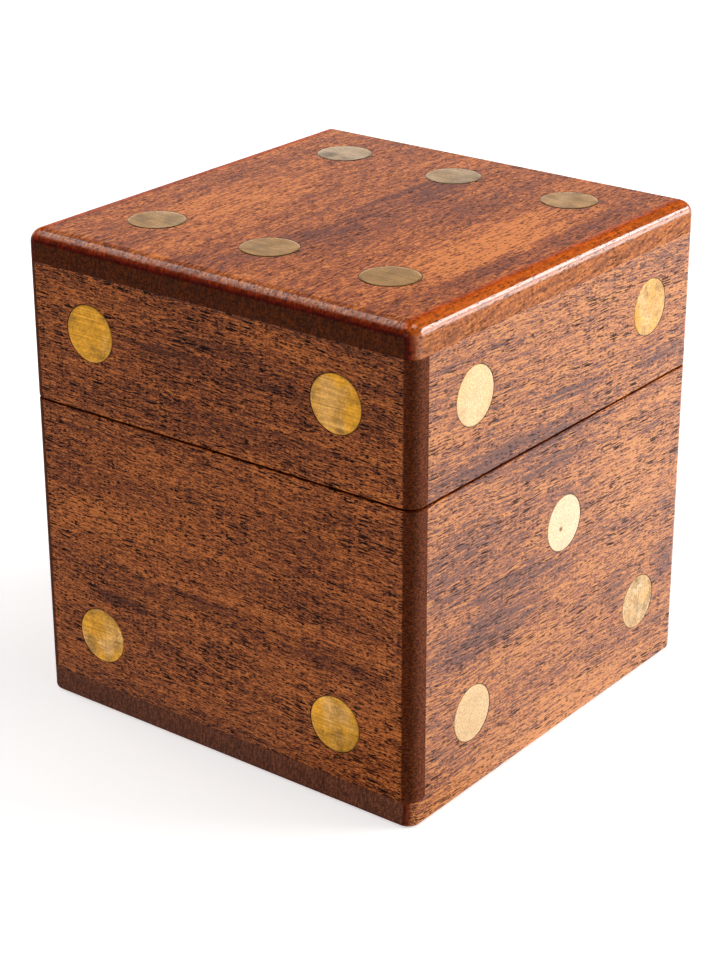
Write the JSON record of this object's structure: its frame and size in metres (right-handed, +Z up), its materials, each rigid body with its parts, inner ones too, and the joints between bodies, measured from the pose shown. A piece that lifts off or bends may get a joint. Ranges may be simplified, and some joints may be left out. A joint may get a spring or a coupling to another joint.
{
  "type": "dice box with hinged lid",
  "caption": "Lidded wooden box in the shape of a die, with brass pips let into its faces and the lid hinged at the back.",
  "frame": {"origin": "middle of the underside of the closed box", "axes": "+Z up, +X to the right and -Y to the front, as seen by someone facing the front; the hinges are at +Y"},
  "size_m": [0.1, 0.1016, 0.107],
  "materials": {
    "box_wood": "satin lacquered",
    "brass_pip": "sanded flush, lightly tarnished",
    "brass_hinge": "pressed and tumbled",
    "screw": "turned",
    "felt": "felt"
  },
  "bodies": {
    "base": {"bottom_board": "box_wood", "base_front_wall": "box_wood", "base_left_wall": "box_wood", "base_right_wall": "box_wood", "base_back_wall": "box_wood", "floor_felt": "felt", "front_pip_low_left": "brass_pip", "front_pip_low_right": "brass_pip", "right_pip_centre": "brass_pip", "right_pip_low_front": "brass_pip", "right_pip_low_back": "brass_pip", "left_pip_low": "brass_pip", "back_pip_centre": "brass_pip", "back_pip_low": "brass_pip", "bottom_pip": "brass_pip", "base_hinge_leaf_left": "brass_hinge", "base_hinge_leaf_right": "brass_hinge", "hinge_pin_left": "brass_hinge", "hinge_pin_right": "brass_hinge", "base_hinge_screws": "screw"},
    "lid": {"top_board": "box_wood", "lid_front_wall": "box_wood", "lid_left_wall": "box_wood", "lid_right_wall": "box_wood", "lid_back_wall": "box_wood", "top_pip_front_left": "brass_pip", "top_pip_front_middle": "brass_pip", "top_pip_front_right": "brass_pip", "top_pip_back_left": "brass_pip", "top_pip_back_middle": "brass_pip", "top_pip_back_right": "brass_pip", "front_pip_high_left": "brass_pip", "front_pip_high_right": "brass_pip", "right_pip_high_front": "brass_pip", "right_pip_high_back": "brass_pip", "left_pip_high": "brass_pip", "back_pip_high": "brass_pip", "lid_hinge_leaf_left": "brass_hinge", "lid_hinge_leaf_right": "brass_hinge", "lid_hinge_screws": "screw"}
  },
  "joints": [
    {"name": "lid_hinge", "type": "hinge", "parent": "base", "child": "lid", "pos_m": [0, 0.04955, 0.0698], "axis": [-1, 0, 0], "range_deg": [0, 105]}
  ]
}
